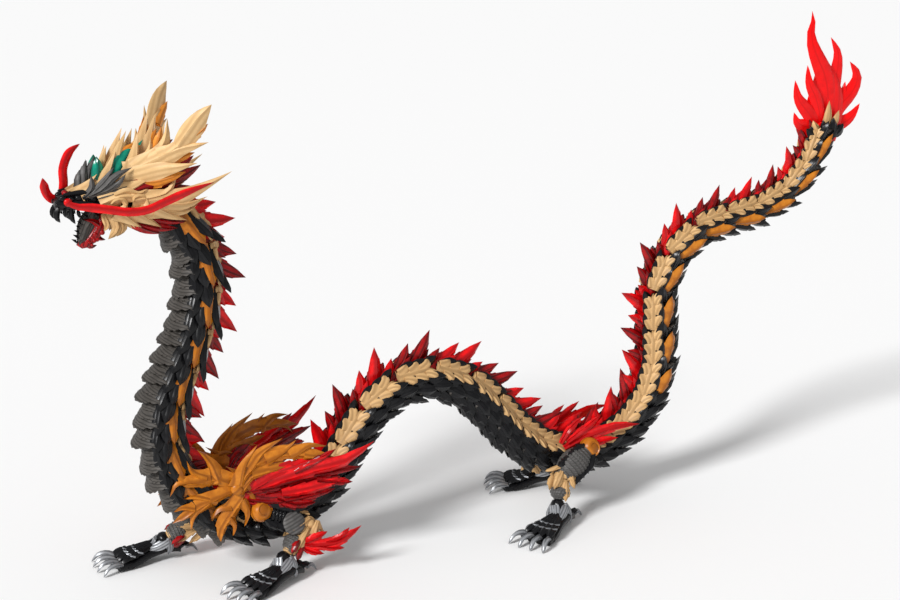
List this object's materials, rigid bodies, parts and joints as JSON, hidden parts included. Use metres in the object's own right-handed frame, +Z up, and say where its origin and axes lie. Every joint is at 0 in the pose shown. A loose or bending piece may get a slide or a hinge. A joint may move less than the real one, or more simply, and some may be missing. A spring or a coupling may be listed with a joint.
{
  "type": "articulated dragon figure",
  "caption": "Long dragon figure of pinned vertebrae with fins and side scales, a horned head with an opening jaw, flame wings and four jointed legs to stand on.",
  "frame": {"origin": "on the floor under the middle of the figure's bounding box", "axes": "+X from head to tail, +Y to the dragon's right, +Z up"},
  "size_m": [0.5307, 0.1235, 0.3038],
  "materials": {
    "black_scale": "moulded satin-gloss black scales",
    "black_frame": "moulded black frame",
    "belly_grey": "matt ribbed grey-brown belly plates",
    "beige_horn": "matt beige with engraved grooves",
    "amber_armour": "satin amber-orange armour with relief",
    "red_clear": "glossy translucent red",
    "red_jaw": "glossy dark red, pebbled",
    "green_gem": "translucent green",
    "silver_claw": "silver-grey painted plastic"
  },
  "bodies": {
    "chest": {"chest": "black_frame", "chest_armour": "amber_armour"},
    "neck_9": {"neck_9": "black_scale"},
    "neck_8": {"neck_8": "black_scale"},
    "neck_7": {"neck_7": "black_scale"},
    "neck_6": {"neck_6": "black_scale"},
    "neck_5": {"neck_5": "black_scale"},
    "neck_4": {"neck_4": "black_scale"},
    "neck_3": {"neck_3": "black_scale"},
    "neck_2": {"neck_2": "black_scale"},
    "neck_1": {"neck_1": "black_scale"},
    "head": {"skull": "black_scale", "head_crest": "beige_horn", "antler_left": "beige_horn", "antler_right": "beige_horn", "cheek_mane": "beige_horn"},
    "jaw": {"lower_jaw": "red_jaw"},
    "whisker_left": {"whisker_left": "red_clear"},
    "whisker_right": {"whisker_right": "red_clear"},
    "body_1": {"body_1": "black_scale"},
    "body_2": {"body_2": "black_scale"},
    "body_3": {"body_3": "black_scale"},
    "body_4": {"body_4": "black_scale"},
    "body_5": {"body_5": "black_scale"},
    "body_6": {"body_6": "black_scale"},
    "body_7": {"body_7": "black_scale"},
    "body_8": {"body_8": "black_scale"},
    "body_9": {"body_9": "black_scale"},
    "body_10": {"body_10": "black_scale"},
    "body_11": {"body_11": "black_scale"},
    "hip": {"hip": "black_frame"},
    "tail_1": {"tail_1": "black_scale"},
    "tail_2": {"tail_2": "black_scale"},
    "tail_3": {"tail_3": "black_scale"},
    "tail_4": {"tail_4": "black_scale"},
    "tail_5": {"tail_5": "black_scale"},
    "tail_6": {"tail_6": "black_scale"},
    "tail_7": {"tail_7": "black_scale"},
    "tail_8": {"tail_8": "black_scale"},
    "tail_9": {"tail_9": "black_scale"},
    "tail_10": {"tail_10": "black_scale"},
    "tail_11": {"tail_11": "black_scale"},
    "tail_12": {"tail_12": "black_scale"},
    "tail_flame": {"tail_flame": "red_clear"},
    "shoulder_blade_left": {"shoulder_blade_left": "amber_armour"},
    "flame_wing_left": {"flame_wing_left": "red_clear"},
    "shoulder_blade_right": {"shoulder_blade_right": "amber_armour"},
    "flame_wing_right": {"flame_wing_right": "red_clear"},
    "front_left_upper": {"front_left_upper": "amber_armour"},
    "front_left_lower": {"front_left_lower": "beige_horn"},
    "front_left_foot": {"front_left_foot": "black_scale"},
    "front_right_upper": {"front_right_upper": "amber_armour"},
    "front_right_lower": {"front_right_lower": "beige_horn"},
    "front_right_foot": {"front_right_foot": "black_scale"},
    "hind_left_upper": {"hind_left_upper": "amber_armour"},
    "hind_left_lower": {"hind_left_lower": "beige_horn"},
    "hind_left_foot": {"hind_left_foot": "black_scale"},
    "hind_right_upper": {"hind_right_upper": "amber_armour"},
    "hind_right_lower": {"hind_right_lower": "beige_horn"},
    "hind_right_foot": {"hind_right_foot": "black_scale"}
  },
  "joints": [
    {"name": "neck_9_hinge", "type": "hinge", "parent": "chest", "child": "neck_9", "pos_m": [-0.17112, 0, 0.03241], "axis": [0, 1, 0], "range_deg": [-15, 6]},
    {"name": "neck_8_hinge", "type": "hinge", "parent": "neck_9", "child": "neck_8", "pos_m": [-0.19014, 0, 0.04622], "axis": [0, -1, 0], "range_deg": [-10, 15]},
    {"name": "neck_7_hinge", "type": "hinge", "parent": "neck_8", "child": "neck_7", "pos_m": [-0.20328, 0, 0.0657], "axis": [0, 1, 0], "range_deg": [-15, 10]},
    {"name": "neck_6_hinge", "type": "hinge", "parent": "neck_7", "child": "neck_6", "pos_m": [-0.20896, 0, 0.08851], "axis": [0, -1, 0], "range_deg": [-8, 15]},
    {"name": "neck_5_hinge", "type": "hinge", "parent": "neck_6", "child": "neck_5", "pos_m": [-0.20569, 0, 0.11178], "axis": [0, 1, 0], "range_deg": [-15, 14]},
    {"name": "neck_4_hinge", "type": "hinge", "parent": "neck_5", "child": "neck_4", "pos_m": [-0.19614, 0, 0.13325], "axis": [0, -1, 0], "range_deg": [-15, 15]},
    {"name": "neck_3_hinge", "type": "hinge", "parent": "neck_4", "child": "neck_3", "pos_m": [-0.18658, 0, 0.15471], "axis": [0, 1, 0], "range_deg": [-15, 15]},
    {"name": "neck_2_hinge", "type": "hinge", "parent": "neck_3", "child": "neck_2", "pos_m": [-0.18169, 0, 0.1777], "axis": [0, -1, 0], "range_deg": [-15, 12]},
    {"name": "neck_1_hinge", "type": "hinge", "parent": "neck_2", "child": "neck_1", "pos_m": [-0.18415, 0, 0.20107], "axis": [0, 1, 0], "range_deg": [-4, 15]},
    {"name": "head_hinge", "type": "hinge", "parent": "neck_1", "child": "head", "pos_m": [-0.1966, 0, 0.221], "axis": [0, -1, 0], "range_deg": [-15, 15]},
    {"name": "jaw_hinge", "type": "hinge", "parent": "head", "child": "jaw", "pos_m": [-0.2366, 0, 0.224], "axis": [0, 1, 0], "range_deg": [-8, 46]},
    {"name": "whisker_left_hinge", "type": "hinge", "parent": "head", "child": "whisker_left", "pos_m": [-0.2566, -0.0068, 0.235], "axis": [0, -1, 0], "range_deg": [-8, 10]},
    {"name": "whisker_right_hinge", "type": "hinge", "parent": "head", "child": "whisker_right", "pos_m": [-0.2566, 0.0068, 0.235], "axis": [0, -1, 0], "range_deg": [-8, 10]},
    {"name": "body_1_hinge", "type": "hinge", "parent": "chest", "child": "body_1", "pos_m": [-0.14814, 0, 0.02752], "axis": [0, 1, 0], "range_deg": [-6, 15]},
    {"name": "body_2_hinge", "type": "hinge", "parent": "body_1", "child": "body_2", "pos_m": [-0.12515, 0, 0.03241], "axis": [0, -1, 0], "range_deg": [-15, 2]},
    {"name": "body_3_hinge", "type": "hinge", "parent": "body_2", "child": "body_3", "pos_m": [-0.10715, 0, 0.04751], "axis": [0, 1, 0], "range_deg": [-14, 15]},
    {"name": "body_4_hinge", "type": "hinge", "parent": "body_3", "child": "body_4", "pos_m": [-0.09401, 0, 0.067], "axis": [0, -1, 0], "range_deg": [-15, 15]},
    {"name": "body_5_hinge", "type": "hinge", "parent": "body_4", "child": "body_5", "pos_m": [-0.0802, 0, 0.08601], "axis": [0, 1, 0], "range_deg": [-15, 10]},
    {"name": "body_6_hinge", "type": "hinge", "parent": "body_5", "child": "body_6", "pos_m": [-0.06071, 0, 0.09915], "axis": [0, -1, 0], "range_deg": [-2, 15]},
    {"name": "body_7_hinge", "type": "hinge", "parent": "body_6", "child": "body_7", "pos_m": [-0.03734, 0, 0.10161], "axis": [0, 1, 0], "range_deg": [-15, 2]},
    {"name": "body_8_hinge", "type": "hinge", "parent": "body_7", "child": "body_8", "pos_m": [-0.01555, 0, 0.0928], "axis": [0, -1, 0], "range_deg": [-8, 15]},
    {"name": "body_9_hinge", "type": "hinge", "parent": "body_8", "child": "body_9", "pos_m": [0.00135, 0, 0.07648], "axis": [0, 1, 0], "range_deg": [-15, 15]},
    {"name": "body_10_hinge", "type": "hinge", "parent": "body_9", "child": "body_10", "pos_m": [0.01646, 0, 0.05847], "axis": [0, -1, 0], "range_deg": [-15, 15]},
    {"name": "body_11_hinge", "type": "hinge", "parent": "body_10", "child": "body_11", "pos_m": [0.03446, 0, 0.04337], "axis": [0, 1, 0], "range_deg": [-10, 15]},
    {"name": "hip_hinge", "type": "hinge", "parent": "body_11", "child": "hip", "pos_m": [0.05654, 0, 0.03533], "axis": [0, -1, 0], "range_deg": [-15, 6]},
    {"name": "tail_1_hinge", "type": "hinge", "parent": "hip", "child": "tail_1", "pos_m": [0.07998, 0, 0.03697], "axis": [0, 1, 0], "range_deg": [-6, 15]},
    {"name": "tail_2_hinge", "type": "hinge", "parent": "tail_1", "child": "tail_2", "pos_m": [0.10073, 0, 0.048], "axis": [0, -1, 0], "range_deg": [-15, 8]},
    {"name": "tail_3_hinge", "type": "hinge", "parent": "tail_2", "child": "tail_3", "pos_m": [0.11584, 0, 0.06601], "axis": [0, 1, 0], "range_deg": [-6, 15]},
    {"name": "tail_4_hinge", "type": "hinge", "parent": "tail_3", "child": "tail_4", "pos_m": [0.12232, 0, 0.0886], "axis": [0, -1, 0], "range_deg": [-15, 12]},
    {"name": "tail_5_hinge", "type": "hinge", "parent": "tail_4", "child": "tail_5", "pos_m": [0.1215, 0, 0.11208], "axis": [0, 1, 0], "range_deg": [-15, 15]},
    {"name": "tail_6_hinge", "type": "hinge", "parent": "tail_5", "child": "tail_6", "pos_m": [0.12068, 0, 0.13557], "axis": [0, -1, 0], "range_deg": [-4, 15]},
    {"name": "tail_7_hinge", "type": "hinge", "parent": "tail_6", "child": "tail_7", "pos_m": [0.13023, 0, 0.15704], "axis": [0, 1, 0], "range_deg": [-15, 2]},
    {"name": "tail_8_hinge", "type": "hinge", "parent": "tail_7", "child": "tail_8", "pos_m": [0.14875, 0, 0.1715], "axis": [0, -1, 0], "range_deg": [-4, 15]},
    {"name": "tail_9_hinge", "type": "hinge", "parent": "tail_8", "child": "tail_9", "pos_m": [0.17174, 0, 0.17639], "axis": [0, 1, 0], "range_deg": [-15, 15]},
    {"name": "tail_10_hinge", "type": "hinge", "parent": "tail_9", "child": "tail_10", "pos_m": [0.19501, 0, 0.17966], "axis": [0, -1, 0], "range_deg": [-15, 14]},
    {"name": "tail_11_hinge", "type": "hinge", "parent": "tail_10", "child": "tail_11", "pos_m": [0.21648, 0, 0.18922], "axis": [0, 1, 0], "range_deg": [-6, 15]},
    {"name": "tail_12_hinge", "type": "hinge", "parent": "tail_11", "child": "tail_12", "pos_m": [0.2322, 0, 0.20668], "axis": [0, -1, 0], "range_deg": [-15, 8]},
    {"name": "tail_flame_hinge", "type": "hinge", "parent": "tail_12", "child": "tail_flame", "pos_m": [0.24024, 0, 0.22876], "axis": [0, 1, 0], "range_deg": [-15, 15]},
    {"name": "shoulder_blade_left_hinge", "type": "hinge", "parent": "chest", "child": "shoulder_blade_left", "pos_m": [-0.17012, -0.021, 0.05791], "axis": [-0.342, -0.9397, 0], "range_deg": [-4, 15]},
    {"name": "flame_wing_left_hinge", "type": "hinge", "parent": "chest", "child": "flame_wing_left", "pos_m": [-0.16462, -0.017, 0.05241], "axis": [-0.342, -0.9397, 0], "range_deg": [-3, 14]},
    {"name": "shoulder_blade_right_hinge", "type": "hinge", "parent": "chest", "child": "shoulder_blade_right", "pos_m": [-0.17012, 0.021, 0.05791], "axis": [0.342, -0.9397, 0], "range_deg": [-4, 15]},
    {"name": "flame_wing_right_hinge", "type": "hinge", "parent": "chest", "child": "flame_wing_right", "pos_m": [-0.16462, 0.017, 0.05241], "axis": [0.342, -0.9397, 0], "range_deg": [-3, 14]},
    {"name": "front_left_upper_hinge", "type": "hinge", "parent": "chest", "child": "front_left_upper", "pos_m": [-0.15543, -0.0185, 0.04134], "axis": [0, 0.9397, -0.342], "range_deg": [-12, 20]},
    {"name": "front_left_lower_hinge", "type": "hinge", "parent": "front_left_upper", "child": "front_left_lower", "pos_m": [-0.12797, -0.02263, 0.02998], "axis": [0, 0.9397, -0.342], "range_deg": [-25, 8]},
    {"name": "front_left_foot_hinge", "type": "hinge", "parent": "front_left_lower", "child": "front_left_foot", "pos_m": [-0.14543, -0.02827, 0.0145], "axis": [0, 0.9397, -0.342], "range_deg": [-12, 12]},
    {"name": "front_right_upper_hinge", "type": "hinge", "parent": "chest", "child": "front_right_upper", "pos_m": [-0.15543, 0.0185, 0.04134], "axis": [0, 0.9397, 0.342], "range_deg": [-20, 12]},
    {"name": "front_right_lower_hinge", "type": "hinge", "parent": "front_right_upper", "child": "front_right_lower", "pos_m": [-0.17818, 0.02519, 0.02297], "axis": [0, 0.9397, 0.342], "range_deg": [-30, 12]},
    {"name": "front_right_foot_hinge", "type": "hinge", "parent": "front_right_lower", "child": "front_right_foot", "pos_m": [-0.20043, 0.02827, 0.0145], "axis": [0, 0.9397, 0.342], "range_deg": [-12, 12]},
    {"name": "hind_left_upper_hinge", "type": "hinge", "parent": "hip", "child": "hind_left_upper", "pos_m": [0.06396, -0.0185, 0.04387], "axis": [0, 0.9397, -0.342], "range_deg": [-12, 15]},
    {"name": "hind_left_lower_hinge", "type": "hinge", "parent": "hind_left_upper", "child": "hind_left_lower", "pos_m": [0.04204, -0.02328, 0.03074], "axis": [0, 0.9397, -0.342], "range_deg": [-15, 12]},
    {"name": "hind_left_foot_hinge", "type": "hinge", "parent": "hind_left_lower", "child": "hind_left_foot", "pos_m": [0.03696, -0.02901, 0.015], "axis": [0, 0.9397, -0.342], "range_deg": [-12, 12]},
    {"name": "hind_right_upper_hinge", "type": "hinge", "parent": "hip", "child": "hind_right_upper", "pos_m": [0.06396, 0.0185, 0.04387], "axis": [0, 0.9397, 0.342], "range_deg": [-15, 15]},
    {"name": "hind_right_lower_hinge", "type": "hinge", "parent": "hind_right_upper", "child": "hind_right_lower", "pos_m": [0.04849, 0.02565, 0.02424], "axis": [0, 0.9397, 0.342], "range_deg": [-6, 25]},
    {"name": "hind_right_foot_hinge", "type": "hinge", "parent": "hind_right_lower", "child": "hind_right_foot", "pos_m": [0.06296, 0.02901, 0.015], "axis": [0, 0.9397, 0.342], "range_deg": [-12, 12]}
  ]
}
